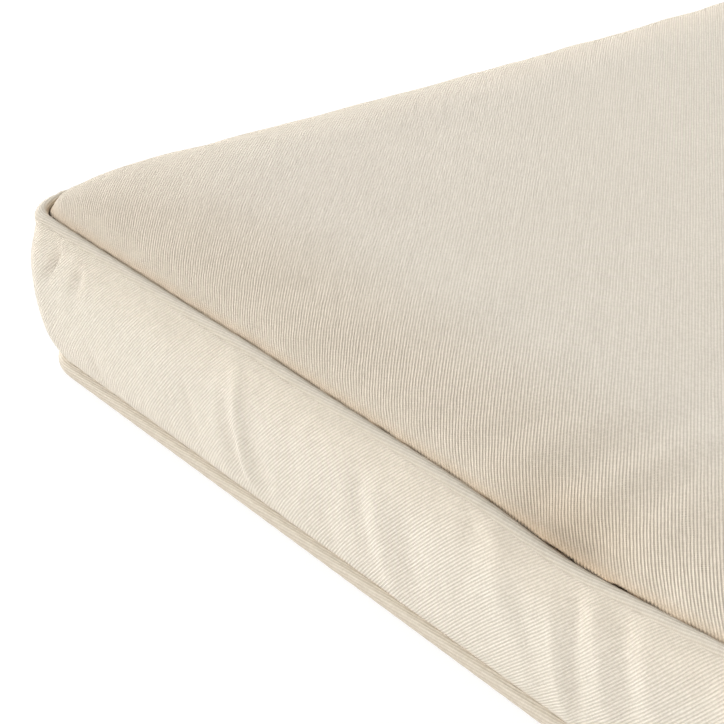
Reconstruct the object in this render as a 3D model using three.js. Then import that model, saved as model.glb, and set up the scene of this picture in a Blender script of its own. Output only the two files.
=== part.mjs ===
// A box-edged chair pad: a crowned top panel, a bulging boxing strip and a flat underside, sewn
// together over two closed runs of covered piping cord. Millimetres, +X right, +Y back, +Z up.
// The pad lies on z = 0, centred on the Z axis, and its front faces -Y.
import * as THREE from "three";

// Driving dimensions. The side and both corner radii are measured along the piping's centre line.
const SIDE = 450;
const TOP_CORNER_RADIUS = 11;
const BOTTOM_CORNER_RADIUS = 22;
const TOP_SEAM_HEIGHT = 48.5;
const BOTTOM_SEAM_HEIGHT = 2.7;
const CORD_RADIUS = 2.1;
const CORD_SIDES = 8;
const CORNER_STEPS = 6;

// The cloth is tucked in round each cord: a groove a little larger than the cord, so that the two
// stay apart.
const GROOVE_RADIUS = 2.75;
const TOP_GROOVE_DEGREES = [355, 300, 245, 190];
const BOTTOM_GROOVE_DEGREES = [215, 170, 125];

// The top panel rises steeply from its seam and rounds over on to a nearly flat crown.
const CROWN_RISE = 17.5;
const CROWN_REACH = 47;
const CROWN_MIDDLE = 0.9;
const WAVE_REACH = 12;

// One row for each side, counter-clockwise from the front. run is the number of steps along the
// straight stretch, and drawIn is how far its middle is pulled in between the corners.
const SIDES = [
  { name: "front", run: 48, drawIn: 0.3 },
  { name: "right", run: 28, drawIn: 1.8 },
  { name: "back", run: 28, drawIn: 2.2 },
  { name: "left", run: 28, drawIn: 0.8 },
];

// Waves of the top seam. at runs along the side from its first corner, and lift is the height.
const SEAM_WAVES = [
  { side: "front", at: 36, lift: -0.6, spread: 25 },
  { side: "front", at: 116, lift: 0.45, spread: 18 },
  { side: "front", at: 241, lift: -2.4, spread: 24 },
  { side: "front", at: 306, lift: 2.6, spread: 25 },
  { side: "front", at: 385, lift: -1, spread: 30 },
  { side: "right", at: 130, lift: 1.6, spread: 45 },
  { side: "right", at: 290, lift: -1.3, spread: 60 },
  { side: "back", at: 150, lift: -1.5, spread: 60 },
  { side: "back", at: 310, lift: 1.5, spread: 45 },
  { side: "left", at: 140, lift: 2.6, spread: 45 },
  { side: "left", at: 300, lift: -0.8, spread: 60 },
];

// Soft upright folds of the boxing. depth is how far a fold stands out, or sinks in where it is
// below zero, and lean is how far along the side its foot lies past its top.
const FOLDS = [
  { side: "front", at: 20, lean: 2, depth: -0.7, spread: 8 },
  { side: "front", at: 110, lean: 8, depth: 0.7, spread: 9 },
  { side: "front", at: 176, lean: 10, depth: -0.6, spread: 10 },
  { side: "front", at: 217, lean: 10, depth: -0.6, spread: 9 },
  { side: "front", at: 240, lean: 6, depth: -1.1, spread: 9 },
  { side: "front", at: 252, lean: 6, depth: 0.8, spread: 9 },
  { side: "front", at: 268, lean: 6, depth: -0.9, spread: 9 },
  { side: "front", at: 300, lean: 4, depth: 0.8, spread: 14 },
  { side: "front", at: 366, lean: -6, depth: -0.9, spread: 12 },
  { side: "right", at: 60, lean: 4, depth: -0.8, spread: 18 },
  { side: "right", at: 168, lean: -5, depth: 0.9, spread: 18 },
  { side: "right", at: 262, lean: 5, depth: -1, spread: 18 },
  { side: "right", at: 372, lean: -4, depth: 0.7, spread: 18 },
  { side: "back", at: 96, lean: 5, depth: -0.9, spread: 18 },
  { side: "back", at: 214, lean: -4, depth: 0.8, spread: 18 },
  { side: "back", at: 330, lean: 5, depth: -0.9, spread: 18 },
  { side: "left", at: 78, lean: 4, depth: 0.7, spread: 18 },
  { side: "left", at: 196, lean: 5, depth: -0.9, spread: 18 },
  { side: "left", at: 318, lean: -4, depth: 0.8, spread: 18 },
];

// Rings of the underside, from its middle out to the seam. inset is measured in from the piping's
// centre line, and corner is the ring's own corner radius.
const UNDERSIDE_RINGS = [
  { inset: 150, corner: 40, height: 0 },
  { inset: 45, corner: 34, height: 0 },
  { inset: 12, corner: 28, height: 0 },
  { inset: 5.5, corner: 22, height: 0.7 },
];

// Rings of the boxing, from the bottom seam up. climb is the part of the way to the top seam, and
// bulge is how far the cloth swells past the piping's centre line. The corners are fullest in
// the middle of the strip, and drawn in towards both seams.
const BOXING_RINGS = [
  { climb: 0.07, bulge: 0.3, corner: 20 },
  { climb: 0.13, bulge: 1.9, corner: 18 },
  { climb: 0.24, bulge: 3.2, corner: 15.5 },
  { climb: 0.38, bulge: 4.1, corner: 13 },
  { climb: 0.55, bulge: 4.6, corner: 12.5 },
  { climb: 0.7, bulge: 4.8, corner: 13 },
  { climb: 0.82, bulge: 4.7, corner: 14.5 },
  { climb: 0.91, bulge: 4.2, corner: 16 },
];

// Rings of the top panel, from the seam in to the middle. At a corner the filling stops short of
// the piping, so a ring's corner is rounder than the piping's, and the first one stays low.
const SEAM_LEDGE = { inset: 2.9, corner: 16, height: 0.9 };
const TOP_RINGS = [
  { inset: 3.6, corner: 18 },
  { inset: 6, corner: 22 },
  { inset: 11, corner: 27 },
  { inset: 19, corner: 32 },
  { inset: 30, corner: 36 },
  { inset: 47, corner: 44 },
  { inset: 72, corner: 52 },
  { inset: 120, corner: 60 },
];

const CLOTH_COLOUR = "#dcd2c0";
const PIPING_COLOUR = "#d8cdb8";

// The stations go once round the pad, counter-clockwise from the front left corner. round is the
// part of the corner's arc behind a station, and along the part of the straight stretch.
function makeStations() {
  const stations = [];
  const straight = SIDE - 2 * TOP_CORNER_RADIUS;
  SIDES.forEach((side, index) => {
    for (let step = 0; step < CORNER_STEPS; step++) {
      const round = step / CORNER_STEPS;
      stations.push({ side, index, round, along: 0, at: TOP_CORNER_RADIUS * round });
    }
    for (let step = 0; step < side.run; step++) {
      const along = step / side.run;
      const at = TOP_CORNER_RADIUS + straight * along;
      stations.push({ side, index, round: 1, along, at });
    }
  });
  return stations;
}

// A point of a rounded square that lies inset from the piping's centre line.
function rimPoint(station, inset, corner, height) {
  const arm = SIDE / 2 - inset - corner;
  const turn = (station.round * Math.PI) / 2;
  const drawn = station.side.drawIn * Math.sin(Math.PI * station.along);
  const sideways = arm * (2 * station.along - 1) - corner * Math.cos(turn);
  const outward = arm + corner * Math.sin(turn) - drawn;
  const heading = (station.index * Math.PI) / 2;
  return new THREE.Vector3(
    sideways * Math.cos(heading) + outward * Math.sin(heading),
    sideways * Math.sin(heading) - outward * Math.cos(heading),
    height,
  );
}

// A smooth bump of unit height at the middle of its spread.
function bump(distance, spread) {
  return Math.exp(-((distance / spread) ** 2));
}

function seamWave(station) {
  return SEAM_WAVES.filter((wave) => wave.side === station.side.name).reduce(
    (sum, wave) => sum + wave.lift * bump(station.at - wave.at, wave.spread),
    0,
  );
}

function foldDepth(station, climb) {
  return FOLDS.filter((fold) => fold.side === station.side.name).reduce((sum, fold) => {
    const middle = fold.at + fold.lean * (0.5 - climb);
    return sum + fold.depth * bump(station.at - middle, fold.spread);
  }, 0);
}

// Height of the top panel over its seam, at a distance in from the piping's centre line.
function crownRise(inset) {
  const left = Math.max(0, 1 - inset / CROWN_REACH);
  const past = Math.max(0, inset - CROWN_REACH) / (SIDE / 2 - CROWN_REACH);
  return CROWN_RISE * Math.sqrt(1 - left ** 2) + CROWN_MIDDLE * past;
}

// One ring of a groove, or of a cord's own surface: a radius and an angle round the seam.
function seamRing(stations, radius, degrees, corner, seamHeight) {
  const angle = THREE.MathUtils.degToRad(degrees);
  const out = radius * Math.cos(angle);
  const up = radius * Math.sin(angle);
  return stations.map((station) => rimPoint(station, -out, corner + out, seamHeight(station) + up));
}

function bottomSeam() {
  return BOTTOM_SEAM_HEIGHT;
}

function topSeam(station) {
  return TOP_SEAM_HEIGHT + seamWave(station);
}

function undersideRing(stations, ring) {
  return stations.map((station) => rimPoint(station, ring.inset, ring.corner, ring.height));
}

function boxingRing(stations, ring) {
  return stations.map((station) => {
    const swell = ring.bulge + foldDepth(station, ring.climb) * Math.sin(Math.PI * ring.climb);
    const height = THREE.MathUtils.lerp(bottomSeam(), topSeam(station), ring.climb);
    return rimPoint(station, -swell, ring.corner + swell, height);
  });
}

function topRing(stations, ring) {
  const fade = Math.exp(-ring.inset / WAVE_REACH);
  return stations.map((station) => {
    const height = TOP_SEAM_HEIGHT + seamWave(station) * fade + crownRise(ring.inset);
    return rimPoint(station, ring.inset, ring.corner, height);
  });
}

function ledgeRing(stations) {
  const { inset, corner, height } = SEAM_LEDGE;
  return stations.map((station) => rimPoint(station, inset, corner, topSeam(station) + height));
}

// Joins rings of equally many points into one closed surface that faces outwards. The ends are
// either drawn together at two poles or joined to each other.
function loft(rings, poles) {
  const around = rings[0].length;
  const points = rings.flat();
  const faces = [];
  const bands = poles ? rings.length - 1 : rings.length;
  for (let band = 0; band < bands; band++) {
    const low = band * around;
    const high = ((band + 1) % rings.length) * around;
    for (let i = 0; i < around; i++) {
      const next = (i + 1) % around;
      faces.push(low + i, low + next, high + next);
      faces.push(low + i, high + next, high + i);
    }
  }
  if (poles) {
    const last = (rings.length - 1) * around;
    const first = points.length;
    points.push(poles.bottom, poles.top);
    for (let i = 0; i < around; i++) {
      const next = (i + 1) % around;
      faces.push(first, next, i);
      faces.push(last + i, last + next, first + 1);
    }
  }
  const geometry = new THREE.BufferGeometry().setFromPoints(points);
  geometry.setIndex(faces);
  geometry.computeVertexNormals();
  return geometry;
}

// The filled pad, as one solid from the middle of its underside to the middle of its crown.
function padGeometry(stations) {
  const bottomGroove = BOTTOM_GROOVE_DEGREES.map((degrees) =>
    seamRing(stations, GROOVE_RADIUS, degrees, BOTTOM_CORNER_RADIUS, bottomSeam),
  );
  const topGroove = TOP_GROOVE_DEGREES.map((degrees) =>
    seamRing(stations, GROOVE_RADIUS, degrees, TOP_CORNER_RADIUS, topSeam),
  );
  const rings = [
    ...UNDERSIDE_RINGS.map((ring) => undersideRing(stations, ring)),
    ...bottomGroove,
    ...BOXING_RINGS.map((ring) => boxingRing(stations, ring)),
    ...topGroove,
    ledgeRing(stations),
    ...TOP_RINGS.map((ring) => topRing(stations, ring)),
  ];
  const crownHeight = TOP_SEAM_HEIGHT + crownRise(SIDE / 2);
  const poles = {
    bottom: new THREE.Vector3(0, 0, 0),
    top: new THREE.Vector3(0, 0, crownHeight),
  };
  return loft(rings, poles);
}

// One closed run of piping cord round a seam.
function pipingGeometry(stations, corner, seamHeight) {
  const rings = [];
  for (let side = 0; side < CORD_SIDES; side++) {
    const degrees = (360 * side) / CORD_SIDES;
    rings.push(seamRing(stations, CORD_RADIUS, degrees, corner, seamHeight));
  }
  return loft(rings, null);
}

function cloth(colour) {
  return new THREE.MeshStandardMaterial({ color: colour, roughness: 0.92, metalness: 0 });
}

function named(name, geometry, material) {
  const mesh = new THREE.Mesh(geometry, material);
  mesh.name = name;
  return mesh;
}

const stations = makeStations();
const topPiping = pipingGeometry(stations, TOP_CORNER_RADIUS, topSeam);
const bottomPiping = pipingGeometry(stations, BOTTOM_CORNER_RADIUS, bottomSeam);

const chairPad = new THREE.Group();
chairPad.add(
  named("pad", padGeometry(stations), cloth(CLOTH_COLOUR)),
  named("piping_top", topPiping, cloth(PIPING_COLOUR)),
  named("piping_bottom", bottomPiping, cloth(PIPING_COLOUR)),
);

export default chairPad;
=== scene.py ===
# %% [markdown]
# # A box-edged chair pad in ecru twill
#
# The real thing is a square foam pad in a sewn cover: a crowned top panel, a boxing strip about
# 50 mm high, a flat underside, and a covered cord, the piping, in the top and the bottom seam.
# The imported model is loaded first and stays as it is. Every piece below is made in the same frame,
# in metres, and takes the place of one of its solids.

import math

import bpy
import numpy as np
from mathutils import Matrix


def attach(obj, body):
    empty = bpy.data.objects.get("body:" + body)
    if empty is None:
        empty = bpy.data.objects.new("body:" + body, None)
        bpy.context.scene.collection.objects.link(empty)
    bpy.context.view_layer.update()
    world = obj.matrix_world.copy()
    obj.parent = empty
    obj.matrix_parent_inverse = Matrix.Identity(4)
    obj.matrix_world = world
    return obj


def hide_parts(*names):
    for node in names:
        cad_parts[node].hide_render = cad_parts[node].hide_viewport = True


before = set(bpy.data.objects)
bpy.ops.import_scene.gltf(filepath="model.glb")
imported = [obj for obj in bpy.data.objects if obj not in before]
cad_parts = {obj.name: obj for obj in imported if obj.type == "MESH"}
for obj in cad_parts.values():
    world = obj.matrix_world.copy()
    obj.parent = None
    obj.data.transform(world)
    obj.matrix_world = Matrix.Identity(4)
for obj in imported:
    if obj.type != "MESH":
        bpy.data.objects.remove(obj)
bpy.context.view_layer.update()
MM = 0.001

# %% [markdown]
# ## The camera
#
# The photograph looks down on the front left corner from the front right, through a long lens. The
# place and the lens were worked out from the two piping lines, the crown's outline and the run of
# the twill ribs, so that the corner lies in the picture where it does in the photograph.

# %% Camera
CAMERA_PLACE = (0.31430, -0.50775, 0.31357)
CAMERA_AZIMUTH = math.radians(52.848)
CAMERA_ELEVATION = math.radians(27.792)
CAMERA_LENS = 108.24


def make_camera():
    data = bpy.data.cameras.new("photo_camera")
    data.lens = CAMERA_LENS
    data.sensor_width = 36
    data.clip_start = 0.01
    camera = bpy.data.objects.new("photo_camera", data)
    camera.location = CAMERA_PLACE
    camera.rotation_euler = (math.pi / 2 - CAMERA_ELEVATION, 0, CAMERA_AZIMUTH)
    bpy.context.scene.collection.objects.link(camera)
    bpy.context.scene.camera = camera
    return camera


make_camera()
print("camera at", CAMERA_PLACE)

# %% [markdown]
# ## The size of the pad
#
# A pad like this is cut from a few sizes: the side between the piping lines, the corner radii, the
# height of each seam, and the rise of the crown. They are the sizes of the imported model, in
# millimetres. Each row of SIDES is one side, counter-clockwise from the front.

# %% Sizes in millimetres
SIDE = 450.0
TOP_CORNER = 11.0
BOTTOM_CORNER = 22.0
TOP_SEAM = 48.5
BOTTOM_SEAM = 2.7
CORD = 2.1
CROWN_RISE = 17.5
CROWN_REACH = 47.0
CROWN_MIDDLE = 0.9
WAVE_REACH = 12.0
SEAM_INSET = 1.65
SEAM_RISE = 1.05
SIDES = [
    {"name": "front", "draw_in": 0.3},
    {"name": "right", "draw_in": 1.8},
    {"name": "back", "draw_in": 2.2},
    {"name": "left", "draw_in": 0.8},
]
SIDE_NUMBER = {row["name"]: number for number, row in enumerate(SIDES)}
DRAW_IN = np.array([row["draw_in"] for row in SIDES])
SEAM_WAVES = [
    {"side": "front", "at": 36, "lift": -0.1, "spread": 25},
    {"side": "front", "at": 116, "lift": 0.45, "spread": 18},
    {"side": "front", "at": 241, "lift": -2.4, "spread": 24},
    {"side": "front", "at": 306, "lift": 2.6, "spread": 25},
    {"side": "front", "at": 385, "lift": -1.0, "spread": 30},
    {"side": "right", "at": 130, "lift": 1.6, "spread": 45},
    {"side": "right", "at": 290, "lift": -1.3, "spread": 60},
    {"side": "back", "at": 150, "lift": -1.5, "spread": 60},
    {"side": "back", "at": 310, "lift": 1.5, "spread": 45},
    {"side": "left", "at": 140, "lift": 2.6, "spread": 45},
    {"side": "left", "at": 300, "lift": -0.8, "spread": 60},
    {"side": "left", "at": 438, "lift": 1.1, "spread": 15},
]
print("piping to piping", SIDE, "mm, seams", TOP_SEAM - BOTTOM_SEAM, "mm apart")

# %% [markdown]
# ## Walking round the rim
#
# Everything on the pad follows its rounded square rim, so one helper gives a place on it. A place
# is a side, a share of the way along it from the middle of one corner to the middle of the next,
# an inset from the piping line (below zero is outside it) and the corner radius there. It also
# gives `walk`, the distance walked round the rim, 450 mm to a side, which the tables of waves and
# folds are written in.

# %% Rim helper
ROUND_TRIP = 4 * SIDE


def rim(side, share, inset, corner):
    side, share, inset, corner = np.broadcast_arrays(side, share, inset, corner)
    arm = SIDE / 2 - inset - corner
    half_arc = corner * np.pi / 4
    gone = share * (2 * half_arc + 2 * arm)
    on_first = gone < half_arc
    on_last = gone > half_arc + 2 * arm
    first = np.where(on_first, gone / np.maximum(half_arc, 1e-9), 1)
    last = np.where(on_last, (gone - half_arc - 2 * arm) / np.maximum(half_arc, 1e-9), 0)
    along = np.clip((gone - half_arc) / np.maximum(2 * arm, 1e-9), 0, 1)
    turn = np.where(on_last, last * np.pi / 4, np.pi / 4 * (1 + first))
    along = np.where(on_last, 0, along)
    number = np.where(on_last, side + 1, side) % 4
    fade = np.clip(1 - inset / (SIDE / 2), 0, 1)
    drawn = DRAW_IN[number] * np.sin(np.pi * along) * fade
    sideways = arm * (2 * along - 1) - corner * np.cos(turn)
    outward = arm + corner * np.sin(turn) - drawn
    heading = number * np.pi / 2
    x = sideways * np.cos(heading) + outward * np.sin(heading)
    y = sideways * np.sin(heading) - outward * np.cos(heading)
    at = TOP_CORNER * turn / (np.pi / 2) + (SIDE - 2 * TOP_CORNER) * along
    walk = (number * SIDE + at) % ROUND_TRIP
    return x, y, walk


def apart(walk, place):
    """Signed distance round the rim from a place to each walk."""
    return (walk - place + ROUND_TRIP / 2) % ROUND_TRIP - ROUND_TRIP / 2


def bump(distance, spread):
    return np.exp(-((distance / spread) ** 2))


def seam_wave(walk):
    lift = np.zeros_like(walk)
    for row in SEAM_WAVES:
        place = SIDE_NUMBER[row["side"]] * SIDE + row["at"]
        lift += row["lift"] * bump(apart(walk, place), row["spread"])
    return lift


print("rim walk at the back right corner", rim(1, 1.0, 0.0, TOP_CORNER)[2])

# %% [markdown]
# ## The shape before it is filled
#
# From the middle of the underside to the middle of the top the cover is one closed skin. Its two
# panels are square grids whose outer rings turn into the rounded rim, and the boxing is a lattice
# between them. The faces are four-sided, apart from one row of five-sided ones where a panel meets
# the finer strip, and every panel keeps a flat cloth map for its weave, as if it were cut from the
# roll. Near each seam the rows follow the cord round, so that the cloth hugs the piping.

# %% Rows from the underside to the top
PANEL_CELLS = 88
STRIP_CELLS = 2 * PANEL_CELLS
HALF_CELLS = PANEL_CELLS // 2
UNDERSIDE = {"inset": [2.4, 5.5, 12, 45, 150, 225], "corner": [21, 22, 28, 34, 40, 0],
             "height": [0.9, 0.45, 0, 0, 0, 0]}
TOP_CORNERS = {"inset": [1.65, 3.6, 6, 11, 19, 30, 47, 72, 120, 225],
               "corner": [11, 13, 16.5, 22.5, 29, 35, 43.5, 52, 60, 0]}
BOXING_ROWS = [
    {"climb": 0.06, "bulge": 0.2, "corner": 21},
    {"climb": 0.09, "bulge": 1.1, "corner": 20},
    {"climb": 0.14, "bulge": 2.1, "corner": 19.5},
    {"climb": 0.24, "bulge": 3.3, "corner": 18.5},
    {"climb": 0.38, "bulge": 4.1, "corner": 17.5},
    {"climb": 0.55, "bulge": 4.6, "corner": 16.5},
    {"climb": 0.70, "bulge": 4.8, "corner": 17},
    {"climb": 0.82, "bulge": 4.6, "corner": 18.5},
    {"climb": 0.91, "bulge": 3.9, "corner": 19},
    {"climb": 0.965, "bulge": 3.0, "corner": 16.5},
    {"climb": 0.99, "bulge": 2.4, "corner": 14},
]
BOXING_STEPS = 26
BOTTOM_TUCK = [(215, 1.0), (190, 0.7), (150, 0.6), (112, 0.75), (98, 1.0)]
TOP_TUCK = [(8, 1.12), (25, 0.96), (16, 0.8), (-30, 0.6), (-100, 0.6), (-150, 0.8)]


def crown_profile():
    """The top panel's section from its seam to the middle: insets and heights."""
    turn = np.linspace(0, np.pi / 2, 60)
    inset = SEAM_INSET + (CROWN_REACH - SEAM_INSET) * (1 - np.cos(turn))
    height = TOP_SEAM + SEAM_RISE + (CROWN_RISE - SEAM_RISE) * np.sin(turn)
    return np.append(inset, SIDE / 2), np.append(height, TOP_SEAM + CROWN_RISE + CROWN_MIDDLE)


def underside_profile():
    return np.array(UNDERSIDE["inset"], float), np.array(UNDERSIDE["height"], float)


def ring_profile(profile):
    """Inset, height and cloth length from the middle of each ring, from the middle out."""
    inset, height = profile
    length = np.concatenate([[0], np.cumsum(np.hypot(np.diff(inset), np.diff(height)))])
    share = 1 - np.arange(HALF_CELLS + 1) / HALF_CELLS
    eased = share * (1 - 0.68 * np.exp(-share * 7))
    at = length[-1] * eased / eased[0]
    return np.interp(at, length, inset), np.interp(at, length, height), length[-1] - at


def panel(rings, corners, waves):
    """A panel as a square grid: points, walk, inset, and the cloth's own two directions."""
    ring_inset, ring_height, ring_length = rings
    steps = np.arange(PANEL_CELLS + 1) - HALF_CELLS
    across, deep = np.meshgrid(steps, steps, indexing="ij")
    ring = np.maximum(abs(across), abs(deep))
    size = np.maximum(ring, 1)
    side = np.select([deep == -ring, across == ring, deep == ring], [0, 1, 2], 3)
    share = np.select(
        [side == 0, side == 1, side == 2],
        [(across + ring) / (2 * size), (deep + ring) / (2 * size), (ring - across) / (2 * size)],
        (ring - deep) / (2 * size),
    )
    inset = ring_inset[ring]
    corner = np.minimum(np.interp(inset, *corners), 0.6 * (SIDE / 2 - inset))
    x, y, walk = rim(side, share, inset, corner)
    x, y = np.where(ring == 0, 0, x), np.where(ring == 0, 0, y)
    z = ring_height[ring] + waves * seam_wave(walk) * np.exp(-inset / WAVE_REACH)
    reach = SIDE / 2 - ring_inset
    flat = [np.sign(v) * np.interp(abs(v), reach, ring_length) for v in (x, y)]
    on_wall = np.stack(flat, -1)
    return np.stack([x, y, z], -1), walk, inset, on_wall


top_points, top_walk, top_inset, top_cloth = panel(
    ring_profile(crown_profile()), (TOP_CORNERS["inset"], TOP_CORNERS["corner"]), 1
)
under_points, under_walk, under_inset, under_cloth = panel(
    ring_profile(underside_profile()), (UNDERSIDE["inset"], UNDERSIDE["corner"]), 0
)
print("top panel rises to", round(float(top_points[..., 2].max()), 1), "mm")

# %% [markdown]
# The boxing strip starts in the groove of the bottom cord, bulges past the piping line, and tucks
# in under the top cord. The photograph shows the strip standing about 4.8 mm outside the piping,
# and the cord sunk between the strip and the top panel.

# %% Boxing rows
def tuck(degrees, share, corner, seam):
    """A row by the angle round the cord from its outer side, and its share of the cord's radius."""
    radius = share * CORD
    out, up = radius * math.cos(math.radians(degrees)), radius * math.sin(math.radians(degrees))
    return {"inset": -out, "corner": corner + out, "height": seam + up}


def boxing_rows():
    rows = [tuck(a, r, BOTTOM_CORNER, BOTTOM_SEAM) | {"climb": 0.0} for a, r in BOTTOM_TUCK]
    climbs = [row["climb"] for row in BOXING_ROWS]
    share = np.linspace(0, 1, BOXING_STEPS)
    even = climbs[0] + (climbs[-1] - climbs[0]) * (share - 0.07 * np.sin(2 * np.pi * share))
    for climb in even:
        rows.append({
            "inset": -np.interp(climb, climbs, [row["bulge"] for row in BOXING_ROWS]),
            "corner": np.interp(climb, climbs, [row["corner"] for row in BOXING_ROWS]),
            "height": BOTTOM_SEAM + climb * (TOP_SEAM - BOTTOM_SEAM),
            "climb": float(climb),
        })
    rows += [tuck(a, r, TOP_CORNER, TOP_SEAM) | {"climb": 1.0} for a, r in TOP_TUCK]
    return rows


def boxing():
    number = np.arange(4 * STRIP_CELLS)
    side, share = number // STRIP_CELLS, (number % STRIP_CELLS) / STRIP_CELLS
    points, climbs, walks = [], [], []
    for row in boxing_rows():
        x, y, walk = rim(side, share, row["inset"], row["corner"])
        lifted = min(1.0, row["climb"])
        points.append(np.stack([x, y, row["height"] + lifted * seam_wave(walk)], -1))
        climbs.append(np.full(len(number), row["climb"]))
        walks.append(walk)
    return np.array(points), np.array(climbs), np.array(walks)


strip_points, strip_climb, strip_walk = boxing()
print("boxing lattice", strip_points.shape[:2])

# %% [markdown]
# ## The cloth's own map
#
# Weave has to follow the cloth, not the room. So each panel carries a UV map in metres of cloth:
# the boxing by the length sewn along the seam and the height up the strip, and each panel by the
# arc length of its two directions, because the steep edge of the crown takes more cloth.

# %% Cloth maps
def cloth_length(points):
    """Running length along the last-but-one axis of a row of points."""
    steps = np.linalg.norm(np.diff(points, axis=0), axis=-1)
    return np.concatenate([[0], np.cumsum(steps)])


def strip_map():
    middle = strip_points[len(strip_points) // 2]
    length = cloth_length(np.concatenate([middle, middle[:1]]))
    step = np.linalg.norm(np.diff(strip_points, axis=0), axis=-1).mean(1)
    height = np.concatenate([[0], np.cumsum(step)])
    return np.stack(np.broadcast_arrays(length[None, :], -height[:, None]), -1)


strip_cloth = strip_map()
print("strip of cloth", strip_cloth[0, -1, 0].round(), "mm long")

# %% [markdown]
# ## Sewing the skin together
#
# The two grids and the strip share their rim points, so the skin closes without any gap. Its facts
# are kept on the points (how far up the boxing, how far from the rim, where round the rim), because
# the folds and puckers are placed by them after the cloth has been filled.

# %% One closed skin
def grid_ring(number):
    """Indices of a grid's outermost points, counter-clockwise from the front left corner."""
    last = PANEL_CELLS
    run = np.arange(last)
    none, back = 0 * run, last - run
    corners = [(run, none), (none + last, run), (back, none + last), (none, back)]
    return number[tuple(np.concatenate(pair) for pair in zip(*corners))]


def quads(lattice):
    return np.stack([lattice[:-1, :-1], lattice[1:, :-1], lattice[1:, 1:], lattice[:-1, 1:]], -1)


def corner_places(flat):
    spots = np.stack([flat[:-1, :-1], flat[1:, :-1], flat[1:, 1:], flat[:-1, 1:]], -2)
    return spots.reshape(-1, 4, 2)


def mesh_object(name, points, faces, cloth=None):
    """A smooth mesh object at the origin. cloth holds a map place for each corner of each face."""
    mesh = bpy.data.meshes.new(name)
    mesh.from_pydata((points * MM).tolist(), [], [list(face) for face in faces])
    if cloth is not None:
        layer = mesh.uv_layers.new(name="cloth")
        layer.data.foreach_set("uv", (cloth * MM).astype(np.float32).ravel())
    mesh.polygons.foreach_set("use_smooth", np.ones(len(mesh.polygons), bool))
    mesh.update()
    made = bpy.data.objects.new(name, mesh)
    bpy.context.scene.collection.objects.link(made)
    return made


def set_facts(mesh, **facts):
    for name, values in facts.items():
        layer = mesh.attributes.new(name, "FLOAT", "POINT")
        layer.data.foreach_set("value", values.astype(np.float32))


def get_fact(mesh, name):
    values = np.empty(len(mesh.vertices), np.float32)
    mesh.attributes[name].data.foreach_get("value", values)
    return values.astype(float)


def joining_row(panel_ring, strip_row, flat_row, drop):
    """Five-sided faces between a panel's rim and the strip, which has twice as many points."""
    n = len(panel_ring)
    one = np.arange(n)
    two = 2 * one
    strip_row, flat_row = np.append(strip_row, strip_row[0]), np.asarray(flat_row)
    faces = np.stack([panel_ring, strip_row[two], strip_row[two + 1], strip_row[two + 2],
                      panel_ring[(one + 1) % n]], -1)
    flat = np.stack([flat_row[two] + drop, flat_row[two], flat_row[two + 1], flat_row[two + 2],
                     flat_row[two + 2] + drop], 1)
    return faces, flat


def sew_skin():
    count = (PANEL_CELLS + 1) ** 2
    under = np.arange(count).reshape(PANEL_CELLS + 1, -1)
    top = under + count
    strip = np.arange(strip_points[..., 0].size).reshape(strip_points.shape[:2]) + 2 * count
    closed = np.hstack([strip, strip[:, :1]])
    points = np.vstack([p.reshape(-1, 3) for p in (under_points, top_points, strip_points)])
    low, low_flat = joining_row(grid_ring(under), strip[0], strip_cloth[0], [0, 2.0])
    high, high_flat = joining_row(grid_ring(top), strip[-1], strip_cloth[-1], [0, -2.0])
    sheets = [
        (quads(under).reshape(-1, 4)[:, ::-1], corner_places(under_cloth * [1, -1])[:, ::-1]),
        (quads(top).reshape(-1, 4), corner_places(top_cloth)),
        (quads(closed).reshape(-1, 4)[:, ::-1], corner_places(strip_cloth)[:, ::-1]),
        (low, low_flat),
        (high[:, ::-1], high_flat[:, ::-1]),
    ]
    faces = [face for part, _ in sheets for face in part.tolist()]
    cloth = np.concatenate([flat.reshape(-1, 2) for _, flat in sheets])
    skin = mesh_object("chair_pad", points, faces, cloth)
    walk = np.concatenate([under_walk.ravel(), top_walk.ravel(), strip_walk.ravel()])
    set_facts(
        skin.data,
        climb=np.concatenate([np.zeros(count), np.ones(count), strip_climb.ravel()]),
        inset=np.concatenate([under_inset.ravel(), top_inset.ravel(), np.zeros(strip_climb.size)]),
        rim_cos=np.cos(walk * 2 * np.pi / ROUND_TRIP),
        rim_sin=np.sin(walk * 2 * np.pi / ROUND_TRIP),
    )
    return skin


pad = sew_skin()
print("skin has", len(pad.data.polygons), "faces")

# %% [markdown]
# ## Filling it
#
# Foam presses the cover out while the seams hold it, and the little ease left in the cloth settles
# into soft wrinkles. Cloth simulation with pressure does the same: the rows in the two grooves are
# pinned, the rest is blown out, and the cloth is cut a little too large. The large form was
# measured from the photograph, so only the fine part of the result is kept, capped, and less of it
# on the top, which lies smoother than the boxing.

# %% Cloth simulation
EASE = 0.022
PRESSURE = 4.0
STEPS = 15
WRINKLE_CAP = 1.3
SMOOTHING_ROUNDS = 40
KEPT_ON_TOP = 0.2
KEPT_ON_BOXING = 0.35
UNDERSIDE_HELD = 12
TOP_HELD = 2.5


def places(mesh):
    values = np.empty(len(mesh.vertices) * 3, np.float32)
    mesh.vertices.foreach_get("co", values)
    return values.reshape(-1, 3).astype(float)


def directions(mesh):
    values = np.empty(len(mesh.vertices) * 3, np.float32)
    mesh.vertex_normals.foreach_get("vector", values)
    return values.reshape(-1, 3).astype(float)


def put_places(mesh, values):
    mesh.vertices.foreach_set("co", values.astype(np.float32).ravel())
    mesh.update()


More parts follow.
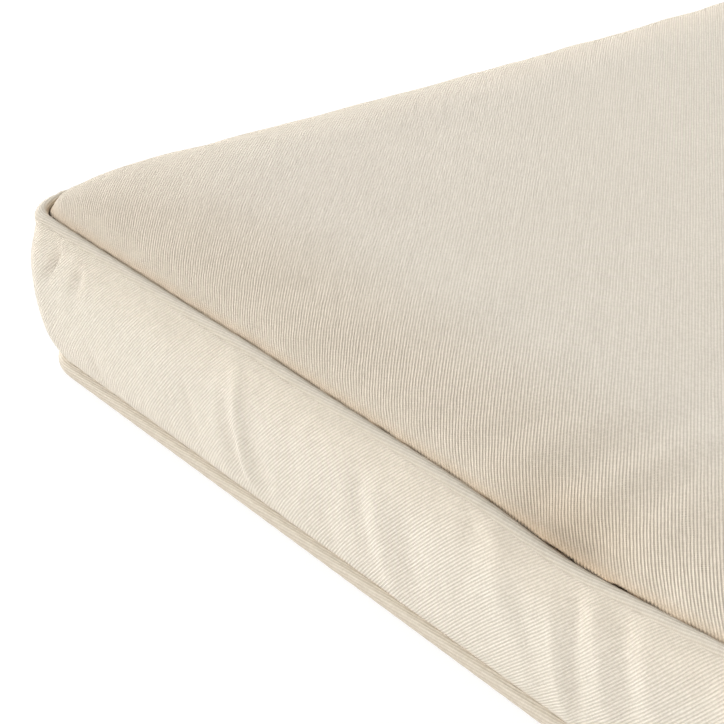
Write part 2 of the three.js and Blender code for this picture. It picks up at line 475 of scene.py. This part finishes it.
def smoothed(mesh, values, rounds):
    """Each point's values averaged with its neighbours', over and over."""
    ends = np.empty(len(mesh.edges) * 2, np.int32)
    mesh.edges.foreach_get("vertices", ends)
    a, b = ends.reshape(-1, 2).T
    count = np.bincount(a, minlength=len(values)) + np.bincount(b, minlength=len(values))
    for _ in range(rounds):
        total = np.stack(
            [np.bincount(a, values[b, k], len(values)) + np.bincount(b, values[a, k], len(values))
             for k in range(values.shape[1])], -1)
        values = (values + total / count[:, None]) / 2
    return values


def filled(piece):
    """How far the blown-out cloth has moved from the skin at each point, in millimetres."""
    climb, inset = get_fact(piece.data, "climb"), get_fact(piece.data, "inset")
    trial = piece.copy()
    trial.data = piece.data.copy()
    bpy.context.scene.collection.objects.link(trial)
    near_bottom_cord = (climb <= 0) & (inset <= UNDERSIDE_HELD)
    near_top_cord = (climb >= 1) & (inset < TOP_HELD)
    held = np.flatnonzero(near_bottom_cord | near_top_cord)
    under = np.flatnonzero((climb <= 0) & (inset > UNDERSIDE_HELD))
    pins = trial.vertex_groups.new(name="held")
    pins.add(held.tolist() + under.tolist(), 1.0, "REPLACE")
    cloth = trial.modifiers.new("filling", "CLOTH")
    cloth.settings.quality = 5
    cloth.settings.mass = 0.25
    cloth.settings.tension_stiffness = 25
    cloth.settings.compression_stiffness = 25
    cloth.settings.shear_stiffness = 12
    cloth.settings.bending_stiffness = 0.6
    cloth.settings.vertex_group_mass = pins.name
    cloth.settings.shrink_min = -EASE
    cloth.settings.use_pressure = True
    cloth.settings.uniform_pressure_force = PRESSURE
    cloth.settings.effector_weights.gravity = 0
    cloth.collision_settings.use_collision = False
    cloth.point_cache.frame_start = 1
    cloth.point_cache.frame_end = STEPS
    scene = bpy.context.scene
    for step in range(1, STEPS + 1):
        scene.frame_set(step)
    blown = trial.evaluated_get(bpy.context.evaluated_depsgraph_get())
    moved = places(blown.data) - places(piece.data)
    bpy.data.objects.remove(trial)
    scene.frame_set(1)
    return moved / MM


def settle(piece):
    moved = filled(piece)
    print("blown out by at most", np.linalg.norm(moved, axis=1).max().round(2), "mm")
    fine = moved - smoothed(piece.data, moved, SMOOTHING_ROUNDS)
    normal = directions(piece.data)
    along = (fine * normal).sum(1)
    size = np.abs(along).max()
    kept = WRINKLE_CAP * np.tanh(along / WRINKLE_CAP)
    climb, inset = get_fact(piece.data, "climb"), get_fact(piece.data, "inset")
    kept *= np.where(climb <= 0, 0, np.where(inset > 0, KEPT_ON_TOP, KEPT_ON_BOXING))
    print("wrinkles up to", size.round(2), "mm, kept", np.abs(kept).max().round(2), "mm")
    put_places(piece.data, places(piece.data) + normal * kept[:, None] * MM)


settle(pad)

# %% [markdown]
# One level of subdivision rounds the skin off, and then it is turned into a plain mesh.

# %% Subdivide
def made_plain(piece):
    """Replaces the object's mesh by its evaluated one and removes the modifiers."""
    shape = piece.evaluated_get(bpy.context.evaluated_depsgraph_get())
    mesh = bpy.data.meshes.new_from_object(shape)
    piece.modifiers.clear()
    piece.data = mesh
    return piece


rounder = pad.modifiers.new("rounder", "SUBSURF")
rounder.levels = rounder.render_levels = 1
made_plain(pad)
print("pad has", len(pad.data.polygons), "faces")

# %% [markdown]
# ## Folds that the photograph shows
#
# The boxing is a strip of cloth sewn to two seams that are not quite the same length, so it stands
# in soft upright folds that lean a little. Each row is one of them: where it lies along its side,
# how far its foot lies past its top, how far it stands out (or sinks in, below zero), how wide it
# is, and at which shares of the boxing's height its foot and its head fade out. They are laid over
# the filled cloth as moves along its own direction.

# %% Fold table
FOLD_WORDS = ("at", "lean", "depth", "spread", "foot", "head")
FRONT_FOLDS = [
    (17.6, -19, -1.8, 1.8, 0.66, 0.93),
    (31.8, -12, -1.3, 2.2, 0.68, 0.90),
    (35.0, 3, -0.7, 3.5, 0.08, 0.34),
    (91.0, 3, -0.6, 2.6, 0.15, 0.60),
    (110.5, 4, -0.7, 2.8, 0.20, 0.75),
    (117.0, 4, 1.3, 2.6, 0.15, 0.88),
    (126.0, 4, -0.5, 3.5, 0.10, 0.50),
    (154.5, 5, -0.6, 3.0, 0.10, 0.50),
    (170.0, 6, -0.9, 3.5, 0.30, 0.85),
    (179.5, 6, 0.95, 4.2, 0.10, 0.75),
    (189.0, 6, -0.62, 4.0, 0.25, 0.75),
    (212.0, 8, -0.7, 3.8, 0.72, 1.00),
    (223.5, 12, 0.7, 4.0, 0.55, 1.00),
    (234.5, 13, -0.7, 3.6, 0.15, 0.85),
    (244.5, 8, 0.9, 2.6, 0.10, 0.85),
    (250.4, 4, -0.95, 2.3, 0.20, 1.02),
    (258.5, 9, 0.88, 3.0, 0.30, 1.02),
    (266.5, 9, -0.9, 2.8, 0.30, 1.02),
    (274.0, 7, 0.65, 3.6, 0.40, 1.00),
    (292.0, 5, -0.8, 5.0, 0.20, 0.90),
]
FOLDS = [dict(zip(FOLD_WORDS, row)) | {"side": "front"} for row in FRONT_FOLDS]
SEEN_RUN = 300
LOOSE_FOLDS = 62
FOLD_SEED = 7


def loose_folds():
    """Folds of the stretches that the photograph does not show, in the same sizes."""
    rng = np.random.default_rng(FOLD_SEED)
    rows = []
    for place in np.linspace(SEEN_RUN, ROUND_TRIP - 18, LOOSE_FOLDS):
        foot = rng.uniform(0.05, 0.5)
        rows.append({
            "side": "front", "at": place + rng.uniform(-8, 8), "lean": rng.uniform(-10, 10),
            "depth": rng.choice([-1, 1]) * rng.uniform(0.5, 1.4), "spread": rng.uniform(2.8, 5.5),
            "foot": foot, "head": min(1.0, foot + rng.uniform(0.4, 0.8)),
        })
    return rows


def window(value, low, high):
    middle, half = (low + high) / 2, (high - low) / 2
    return np.exp(-(((value - middle) / half) ** 4))


def walks_of(mesh):
    turn = np.arctan2(get_fact(mesh, "rim_sin"), get_fact(mesh, "rim_cos"))
    return turn * ROUND_TRIP / (2 * np.pi)


def lay_folds(piece):
    mesh = piece.data
    climb = np.clip(get_fact(mesh, "climb"), 0, 1)
    walk = walks_of(mesh)
    stand = np.zeros(len(climb))
    for row in FOLDS + loose_folds():
        middle = (row["foot"] + row["head"]) / 2
        place = SIDE_NUMBER[row["side"]] * SIDE + row["at"] + row["lean"] * (middle - climb)
        fold = row["depth"] * bump(apart(walk, place), row["spread"])
        stand += fold * window(climb, row["foot"], row["head"])
    stand *= np.clip(np.sin(np.pi * climb) * 4, 0, 1)
    put_places(mesh, places(mesh) + directions(mesh) * stand[:, None] * MM)
    return np.abs(stand).max()


# %% [markdown]
# Where the top seam dips, the top panel is dragged towards it in faint ridges that run up on to the
# crown and fade. The rest of its rim has shallow puckers from the stitching. at is where a ridge
# starts on the seam and slant is how far along it has moved at its inner end.

# %% Drag lines of the top panel
DRAGS = [
    {"at": 196, "slant": 10, "depth": -0.25, "spread": 6, "reach": 26},
    {"at": 209, "slant": 14, "depth": 0.35, "spread": 5, "reach": 46},
    {"at": 224, "slant": 12, "depth": -0.45, "spread": 5, "reach": 40},
    {"at": 235, "slant": 16, "depth": 0.4, "spread": 4.5, "reach": 44},
    {"at": 246, "slant": 16, "depth": -0.35, "spread": 5, "reach": 40},
    {"at": 258, "slant": 14, "depth": 0.3, "spread": 6, "reach": 34},
    {"at": 92, "slant": 6, "depth": -0.2, "spread": 9, "reach": 30},
    {"at": 140, "slant": 8, "depth": -0.2, "spread": 8, "reach": 30},
    {"at": 168, "slant": 8, "depth": 0.2, "spread": 7, "reach": 32},
]
LOOSE_DRAGS = 40
PUCKER_DEPTH = 0.12
PUCKER_REACH = 9.0


def loose_drags():
    rng = np.random.default_rng(FOLD_SEED + 1)
    return [
        {"at": place + rng.uniform(-12, 12), "slant": rng.uniform(-14, 14),
         "depth": rng.choice([-1, 1]) * rng.uniform(0.15, 0.35), "spread": rng.uniform(5, 10),
         "reach": rng.uniform(22, 44)}
        for place in np.linspace(SEEN_RUN, ROUND_TRIP - 20, LOOSE_DRAGS)
    ]


def lay_drags(piece):
    mesh = piece.data
    on_top = get_fact(mesh, "climb") >= 1
    inset, walk = get_fact(mesh, "inset"), walks_of(mesh)
    stand = np.zeros(len(inset))
    for row in DRAGS + loose_drags():
        place = row["at"] + row["slant"] * inset / row["reach"]
        fade = np.clip(inset / 5, 0, 1) * np.exp(-((inset / row["reach"]) ** 3))
        stand += row["depth"] * bump(apart(walk, place), row["spread"]) * fade
    rough = np.sin(walk / 1.9 + 1.7 * np.sin(walk / 13))
    rough = rough + np.sin(walk / 3.1 + 2 * np.sin(walk / 29))
    stand += PUCKER_DEPTH * rough * np.exp(-inset / PUCKER_REACH) * np.clip(inset / 3, 0, 1)
    stand *= on_top
    put_places(mesh, places(mesh) + directions(mesh) * stand[:, None] * MM)
    return np.abs(stand).max()


print("folds up to", lay_folds(pad).round(2), "mm, drag lines up to", lay_drags(pad).round(2), "mm")

# %% [markdown]
# Near a seam the cloth's colour gets a painted warm shade, standing in for light that reaches it
# there only after touching more cloth. A painted shadow darkens the last millimetres, most of all
# where the top seam dips, and a painted brown shade lies down in the groove beside each cord. Three
# facts on the points tell where the cloth's colour is shaded this way.

# %% Painted shade beside the seams
def smooth_step(low, high, value):
    share = np.clip((value - low) / (high - low), 0, 1)
    return share * share * (3 - 2 * share)


DIP_PLACE = 237
DIP_SPREAD = 20
SHADOW_PLACE = 238
SHADOW_SPREAD = 17


def set_shade(piece):
    mesh = piece.data
    climb, inset, walk = get_fact(mesh, "climb"), get_fact(mesh, "inset"), walks_of(mesh)
    on_top, on_strip = (climb >= 1) & (inset > 0.5), inset <= 0.5
    near_seam = 1 - smooth_step(10, 50, inset)
    in_dip = bump(apart(walk, DIP_PLACE), DIP_SPREAD) * (1 - smooth_step(0, 18, inset))
    # Painted warm shade on the top panel near its seam, more in the dip, standing in for light
    # bounced off cloth.
    warmth = np.where(on_top, 0.38 * near_seam + 0.60 * in_dip, 0)
    # Painted warm shade on the boxing next to each cord.
    strip_ends = 0.22 * smooth_step(0.6, 1, climb) + 0.12 * (1 - smooth_step(0, 0.15, climb))
    warmth += np.where(on_strip, strip_ends, 0)
    from_seam = np.clip(inset - SEAM_INSET, 0, 60)
    in_shadow = bump(apart(walk, SHADOW_PLACE), SHADOW_SPREAD)
    shadow = 0.42 * np.exp(-from_seam / 1.2) + in_shadow * np.exp(-from_seam / 2.4)
    shadow = np.where(on_top, shadow * (1 - np.exp(-from_seam / 0.5)), 0)
    # Painted brown shade down in the groove where the top panel meets its cord, and on the boxing
    # rows tucked into the bottom cord.
    groove = np.where(on_top, np.exp(-from_seam / 0.3), 0)
    groove = np.where(on_strip & (climb <= 0), 0.6, groove)
    facts = {"seam_warmth": warmth, "seam_shadow": shadow, "groove": groove}
    set_facts(mesh, **{name: np.clip(values, 0, 1) for name, values in facts.items()})


set_shade(pad)
print("shade set beside the seams")

# %% [markdown]
# ## Piping
#
# Piping is a strip of the same cloth, cut on the bias, folded over a cord and caught in the seam.
# A swept tube makes it: its path is the seam line with the seam's waves, and its section is not a
# plain circle. The bottom one shows a narrow second ridge beside the boxing, where the cloth is
# pinched towards the stitching, so its section has a crease there.

# %% Piping tubes
PIPING_STEP = 1.5
PIPING_SIDES = 28
# In each row, shade is the span of angles round the cord over which the painted shade on its outer,
# lower side fades out, and tint is how strong that painted shade is.
PIPINGS = {
    "piping_top": {"corner": TOP_CORNER, "seam": TOP_SEAM, "waves": 1, "crease": 200, "sink": 0.0,
                   "shade": (20, 80), "tint": 0.45},
    "piping_bottom": {"corner": BOTTOM_CORNER, "seam": BOTTOM_SEAM, "waves": 0, "crease": 72,
                      "sink": 0.26, "shade": (0, 60), "tint": 0.72},
}


def piping(name, corner, seam, waves, crease, sink, shade, tint):
    steps = int(SIDE / PIPING_STEP)
    number = np.arange(4 * steps)
    side, share = number // steps, (number % steps) / steps
    turn = np.linspace(np.pi, 3 * np.pi, PIPING_SIDES, endpoint=False)
    rows = []
    for angle in turn:
        away = (np.degrees(angle) - crease + 180) % 360 - 180
        walk = rim(side, share, 0.0, corner)[2]
        pull = 0.05 * np.sin(walk * 2 * np.pi / 7.3 + 2 * np.sin(walk / 31) + angle)
        radius = CORD - sink * bump(away, 11) + 0.5 * pull - 0.03
        out, up = radius * np.cos(angle), radius * np.sin(angle)
        x, y, walk = rim(side, share, -out, corner + out)
        rows.append(np.stack([x, y, seam + up + waves * seam_wave(walk)], -1))
    points = np.array(rows)
    index = np.arange(points[..., 0].size).reshape(points.shape[:2])
    index = np.vstack([index, index[:1]])
    index = np.hstack([index, index[:, :1]])
    path = rim(side, share, 0.0, corner)
    centre = np.stack([path[0], path[1], waves * seam_wave(path[2])], -1)
    length = cloth_length(np.concatenate([centre, centre[:1]]))
    girth = np.linspace(0, 2 * np.pi * CORD, PIPING_SIDES + 1)
    flat = np.stack(np.broadcast_arrays(length[None, :], girth[:, None]), -1)
    faces = quads(index).reshape(-1, 4)[:, ::-1]
    tube = mesh_object(name + "_cloth", points.reshape(-1, 3), faces, corner_places(flat)[:, ::-1])
    angle = (np.degrees(turn) + 180) % 360 - 180
    # Painted groove shade on the upper inner side of each cord, down in its seam.
    groove = np.repeat(smooth_step(105, 150, angle), len(number))
    # Painted shade on the cord's outer, lower side, where less light reaches it.
    outer = np.repeat(tint * (1 - smooth_step(*shade, angle)), len(number))
    set_facts(tube.data, groove=groove, seam_warmth=outer)
    return tube


pipings = {name: piping(name, **row) for name, row in PIPINGS.items()}
print("piping faces", [len(ob.data.polygons) for ob in pipings.values()])

# %% [markdown]
# ## Twill
#
# The cloth is a cotton twill in unbleached ecru: ribs 0.8 mm apart run at 45 degrees across each
# panel, each rib a row of short floats of yarn. One node group makes it from the cloth map, so the
# panels and the piping share it. It puts out a height for the bump, a valley mask that darkens the
# gaps between ribs and floats, partly as painted shade in those gaps and partly as uneven yarn tone,
# and a slow mottle, because no dye lot and no yarn is quite even. The factors in it set how much
# each of rib, bead, chance and thread counts.

# %% Twill group
FLOATS_PER_METRE = 1900


def link(tree, source, target):
    tree.links.new(source, target)


def maths(tree, operation, a, b=None, c=None):
    node = tree.nodes.new("ShaderNodeMath")
    node.operation = operation
    for slot, value in enumerate((a, b, c)):
        if value is None:
            continue
        if isinstance(value, (int, float)):
            node.inputs[slot].default_value = value
        else:
            link(tree, value, node.inputs[slot])
    return node.outputs[0]


def noise(tree, vector, scale, detail=2.0, roughness=0.5):
    node = tree.nodes.new("ShaderNodeTexNoise")
    link(tree, vector, node.inputs["Vector"])
    node.inputs["Scale"].default_value = scale
    node.inputs["Detail"].default_value = detail
    node.inputs["Roughness"].default_value = roughness
    return node.outputs["Fac"]


def scaled(tree, vector, factors):
    node = tree.nodes.new("ShaderNodeVectorMath")
    node.operation = "MULTIPLY"
    link(tree, vector, node.inputs[0])
    node.inputs[1].default_value = factors
    return node.outputs[0]


def wave(tree, turns):
    """A smooth wave between 0 and 1, one for each whole turn."""
    swing = maths(tree, "SINE", maths(tree, "MULTIPLY", turns, 2 * math.pi))
    return maths(tree, "MULTIPLY_ADD", swing, 0.5, 0.5)


def twill_group():
    tree = bpy.data.node_groups.new("cotton_twill", "ShaderNodeTree")
    sockets = [
        ("Cloth", "INPUT", "NodeSocketVector"),
        ("Ribs per metre", "INPUT", "NodeSocketFloat"),
        ("Rib angle", "INPUT", "NodeSocketFloat"),
        ("Height", "OUTPUT", "NodeSocketFloat"),
        ("Valley", "OUTPUT", "NodeSocketFloat"),
        ("Mottle", "OUTPUT", "NodeSocketFloat"),
    ]
    for name, way, kind in sockets:
        tree.interface.new_socket(name, in_out=way, socket_type=kind)
    given, result = tree.nodes.new("NodeGroupInput"), tree.nodes.new("NodeGroupOutput")
    turn = tree.nodes.new("ShaderNodeVectorRotate")
    turn.rotation_type = "Z_AXIS"
    link(tree, given.outputs["Cloth"], turn.inputs["Vector"])
    link(tree, given.outputs["Rib angle"], turn.inputs["Angle"])
    turned = turn.outputs[0]
    split = tree.nodes.new("ShaderNodeSeparateXYZ")
    link(tree, turned, split.inputs[0])
    wander = noise(tree, scaled(tree, turned, (420, 110, 1)), 1.0, 2.0)
    across = maths(tree, "MULTIPLY", split.outputs["X"], given.outputs["Ribs per metre"])
    across = maths(tree, "MULTIPLY_ADD", wander, 0.45, across)
    along = maths(tree, "MULTIPLY", split.outputs["Y"], FLOATS_PER_METRE)
    rib_number = maths(tree, "FLOOR", maths(tree, "ADD", across, 0.25))
    along = maths(tree, "MULTIPLY_ADD", rib_number, 0.37, along)
    rib = wave(tree, across)
    bead = wave(tree, along)
    float_number = maths(tree, "FLOOR", maths(tree, "ADD", along, 0.25))
    cell = tree.nodes.new("ShaderNodeCombineXYZ")
    link(tree, rib_number, cell.inputs[0])
    link(tree, float_number, cell.inputs[1])
    chance = tree.nodes.new("ShaderNodeTexWhiteNoise")
    chance.noise_dimensions = "2D"
    link(tree, cell.outputs[0], chance.inputs["Vector"])
    luck = maths(tree, "SUBTRACT", chance.outputs["Value"], 0.5)
    thread = noise(tree, scaled(tree, given.outputs["Cloth"], (140, 2400, 1)), 1.0, 2.0)
    thread = maths(tree, "SUBTRACT", thread, 0.5)
    raised = maths(tree, "MULTIPLY_ADD", luck, 0.7, maths(tree, "MULTIPLY", bead, 0.5))
    height = maths(tree, "MULTIPLY_ADD", raised, 0.7, rib)
    # The valley tone is partly painted shade in the gaps between ribs and floats, partly random yarn
    # tone.
    tone = maths(tree, "MULTIPLY_ADD", rib, 0.84, -0.07)
    tone = maths(tree, "MULTIPLY_ADD", bead, 0.30, tone)
    tone = maths(tree, "MULTIPLY_ADD", luck, 0.40, tone)
    tone = maths(tree, "MULTIPLY_ADD", thread, 0.3, tone)
    valley = maths(tree, "SUBTRACT", 1.0, tone)
    valley.node.use_clamp = True
    mottle = noise(tree, given.outputs["Cloth"], 28, 4.0, 0.6)
    for value, name in ((height, "Height"), (valley, "Valley"), (mottle, "Mottle")):
        link(tree, value, result.inputs[name])
    return tree


TWILL = twill_group()
print("twill group has", len(TWILL.nodes), "nodes")

# %% [markdown]
# The pad and the piping use the group with their own colour and rib angle. The piping is cut on the
# bias, so its ribs run nearly along the cord, as they do in the photograph. Both also use one shade
# group, which paints shade into the cloth's colour: it multiplies the colour by a tint wherever one
# of the facts is near 1.

# %% Cloth materials
RIBS_PER_METRE = 1000 / 0.79


def mixed(tree, factor, a, b):
    node = tree.nodes.new("ShaderNodeMix")
    node.data_type = "RGBA"
    link(tree, factor, node.inputs["Factor"])
    for socket, value in ((node.inputs[6], a), (node.inputs[7], b)):
        if isinstance(value, tuple):
            socket.default_value = (*value, 1)
        else:
            link(tree, value, socket)
    return node.outputs[2]


# Tints of painted shade: warm shade beside the seams, painted shadow, shade on the cords' outer
# side, and brown shade in the grooves.
SEAM_SHADE_TINT = (0.96, 0.87, 0.77)
SHADOW_TINT = (0.56, 0.545, 0.54)
PIPING_SHADE_TINT = (0.68, 0.645, 0.60)
GROOVE_SHADE_TINT = (1.0, 0.90, 0.78)


SHADES = [("seam_warmth", "Warm shade tint"), ("seam_shadow", "Shadow tint"), ("groove", "Groove shade tint")]


def shade_group():
    """A colour in and out, with shade painted in: multiplied by each tint where the piece's own fact
    is 1.
    """
    tree = bpy.data.node_groups.new("seam_shade", "ShaderNodeTree")
    for name in ["Colour"] + [tint for _, tint in SHADES]:
        tree.interface.new_socket(name, in_out="INPUT", socket_type="NodeSocketColor")
    tree.interface.new_socket("Colour", in_out="OUTPUT", socket_type="NodeSocketColor")
    given, result = tree.nodes.new("NodeGroupInput"), tree.nodes.new("NodeGroupOutput")
    colour = given.outputs["Colour"]
    for fact, tint in SHADES:
        reader = tree.nodes.new("ShaderNodeAttribute")
        reader.attribute_name = fact
        node = tree.nodes.new("ShaderNodeMix")
        node.data_type = "RGBA"
        node.blend_type = "MULTIPLY"
        link(tree, reader.outputs["Fac"], node.inputs["Factor"])
        link(tree, colour, node.inputs[6])
        link(tree, given.outputs[tint], node.inputs[7])
        colour = node.outputs[2]
    link(tree, colour, result.inputs["Colour"])
    return tree


SEAM_SHADE = shade_group()


def cloth_material(name, yarn, gap, mottled, angle, depth, tint):
    material = bpy.data.materials.new(name)
    material.use_nodes = True
    tree = material.node_tree
    shader = tree.nodes["Principled BSDF"]
    place = tree.nodes.new("ShaderNodeUVMap")
    place.uv_map = "cloth"
    weave = tree.nodes.new("ShaderNodeGroup")
    weave.node_tree = TWILL
    weave.inputs["Ribs per metre"].default_value = RIBS_PER_METRE
    weave.inputs["Rib angle"].default_value = angle
    link(tree, place.outputs[0], weave.inputs["Cloth"])
    yarn_colour = mixed(tree, weave.outputs["Mottle"], yarn, mottled)
    # The gap colour paints shade into the weave's valleys, together with the yarn's uneven tone.
    colour = mixed(tree, weave.outputs["Valley"], yarn_colour, gap)
    shade = tree.nodes.new("ShaderNodeGroup")
    shade.node_tree = SEAM_SHADE
    link(tree, colour, shade.inputs["Colour"])
    for (_, name), value in zip(SHADES, (tint, SHADOW_TINT, GROOVE_SHADE_TINT)):
        shade.inputs[name].default_value = (*value, 1)
    link(tree, shade.outputs["Colour"], shader.inputs["Base Color"])
    shader.inputs["Roughness"].default_value = 0.88
    shader.inputs["Specular IOR Level"].default_value = 0.25
    shader.inputs["Sheen Weight"].default_value = 0.12
    shader.inputs["Sheen Roughness"].default_value = 0.5
    bumper = tree.nodes.new("ShaderNodeBump")
    bumper.inputs["Strength"].default_value = 1.0
    bumper.inputs["Distance"].default_value = depth
    link(tree, weave.outputs["Height"], bumper.inputs["Height"])
    link(tree, bumper.outputs[0], shader.inputs["Normal"])
    return material


ecru_twill = cloth_material(
    "ecru_twill_cloth", (0.765, 0.705, 0.610), (0.580, 0.520, 0.430), (0.718, 0.658, 0.563),
    math.radians(-45), 0.00016, SEAM_SHADE_TINT,
)
bias_twill = cloth_material(
    "bias_twill_piping", (0.780, 0.718, 0.618), (0.602, 0.535, 0.438), (0.732, 0.670, 0.570),
    math.radians(84), 0.00008, PIPING_SHADE_TINT,
)
pad.data.materials.clear()
pad.data.materials.append(ecru_twill)
for piece in pipings.values():
    piece.data.materials.append(bias_twill)
print("cloth materials", ecru_twill.name, bias_twill.name)

# %% [markdown]
# ## Floor and light
#
# The photograph is a cut-out on pure white: the pad stands in a white surround that throws light
# back at its sides, so the boxing is lighter than the top. A white floor that glows and a white sky
# do that, with no lamp. The sky is two rings of six soft panels each, low and higher up, brightest
# from the left, and nearly dark overhead. The levels start at +X and go round counter-clockwise.

# %% Floor and sky
LOW_RING = [1.2, 4.0, 1.3, 7.5, 4.35, 1.2]
MIDDLE_RING = [0.8, 4.2, 1.4, 2.4, 1.3, 0.65]
OVERHEAD = 0.1
BRIGHTEST = 10.0
FLOOR_SPAN = 3000
FLOOR_DROP = 0.3
FLOOR_GLOW = 0.82
RING_EDGES = ((0.34, 0.10), (0.70, 0.15))


def make_floor():
    ways = [(-1, -1), (1, -1), (1, 1), (-1, 1)]
    corners = np.array([[x * FLOOR_SPAN, y * FLOOR_SPAN, -FLOOR_DROP] for x, y in ways])
    floor = mesh_object("studio_floor", corners, np.array([[0, 1, 2, 3]]))
    paint = bpy.data.materials.new("white_floor")
    paint.use_nodes = True
    shader = paint.node_tree.nodes["Principled BSDF"]
    shader.inputs["Base Color"].default_value = (0.25, 0.25, 0.25, 1)
    shader.inputs["Roughness"].default_value = 0.9
    shader.inputs["Specular IOR Level"].default_value = 0.1
    shader.inputs["Emission Color"].default_value = (1, 1, 1, 1)
    shader.inputs["Emission Strength"].default_value = FLOOR_GLOW
    floor.data.materials.append(paint)
    return floor


def ramp(tree, turns, levels):
    """A ring of even steps round the compass from +X, counter-clockwise, blended smoothly."""
    node = tree.nodes.new("ShaderNodeValToRGB")
    link(tree, turns, node.inputs["Fac"])
    stops = node.color_ramp.elements
    while len(stops) < len(levels) + 1:
        stops.new(0.5)
    for number, stop in enumerate(stops):
        level = levels[number % len(levels)] / BRIGHTEST
        stop.position = number / len(levels)
        stop.color = (level, level, level, 1)
    return maths(tree, "MULTIPLY", node.outputs["Color"], BRIGHTEST)


def make_sky():
    sky = bpy.data.worlds.new("white_studio")
    sky.use_nodes = True
    tree = sky.node_tree
    back = tree.nodes["Background"]
    place = tree.nodes.new("ShaderNodeTexCoord")
    split = tree.nodes.new("ShaderNodeSeparateXYZ")
    link(tree, place.outputs["Generated"], split.inputs[0])
    turn = maths(tree, "ARCTAN2", split.outputs["Y"], split.outputs["X"])
    turns = maths(tree, "FRACT", maths(tree, "DIVIDE", turn, 2 * math.pi))
    height = split.outputs["Z"]
    low, middle = ramp(tree, turns, LOW_RING), ramp(tree, turns, MIDDLE_RING)
    rises = []
    for edge, soft in RING_EDGES:
        rise = tree.nodes.new("ShaderNodeMapRange")
        rise.interpolation_type = "SMOOTHSTEP"
        rise.inputs["From Min"].default_value = edge - soft
        rise.inputs["From Max"].default_value = edge + soft
        link(tree, height, rise.inputs["Value"])
        rises.append(rise.outputs["Result"])
    difference = maths(tree, "SUBTRACT", middle, low)
    level = maths(tree, "MULTIPLY_ADD", difference, rises[0], low)
    difference = maths(tree, "SUBTRACT", OVERHEAD, level)
    level = maths(tree, "MULTIPLY_ADD", difference, rises[1], level)
    back.inputs["Color"].default_value = (1, 1, 1, 1)
    link(tree, level, back.inputs["Strength"])
    bpy.context.scene.world = sky


make_floor()
make_sky()
bpy.context.scene.view_settings.view_transform = "Standard"
print("studio lit")

# %% [markdown]
# ## Which solid each piece stands for
#
# All three pieces are cloth on one filled pad, so they ride on its only body, and each stands in
# for one imported solid, which is hidden.

# %% Bodies, and the solids that the pieces replace
for fact in ("climb", "inset", "rim_cos", "rim_sin"):
    pad.data.attributes.remove(pad.data.attributes[fact])
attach(pad, "root")
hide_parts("pad")
for name, piece in pipings.items():
    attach(piece, "root")
    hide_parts(name)
print("pieces placed")
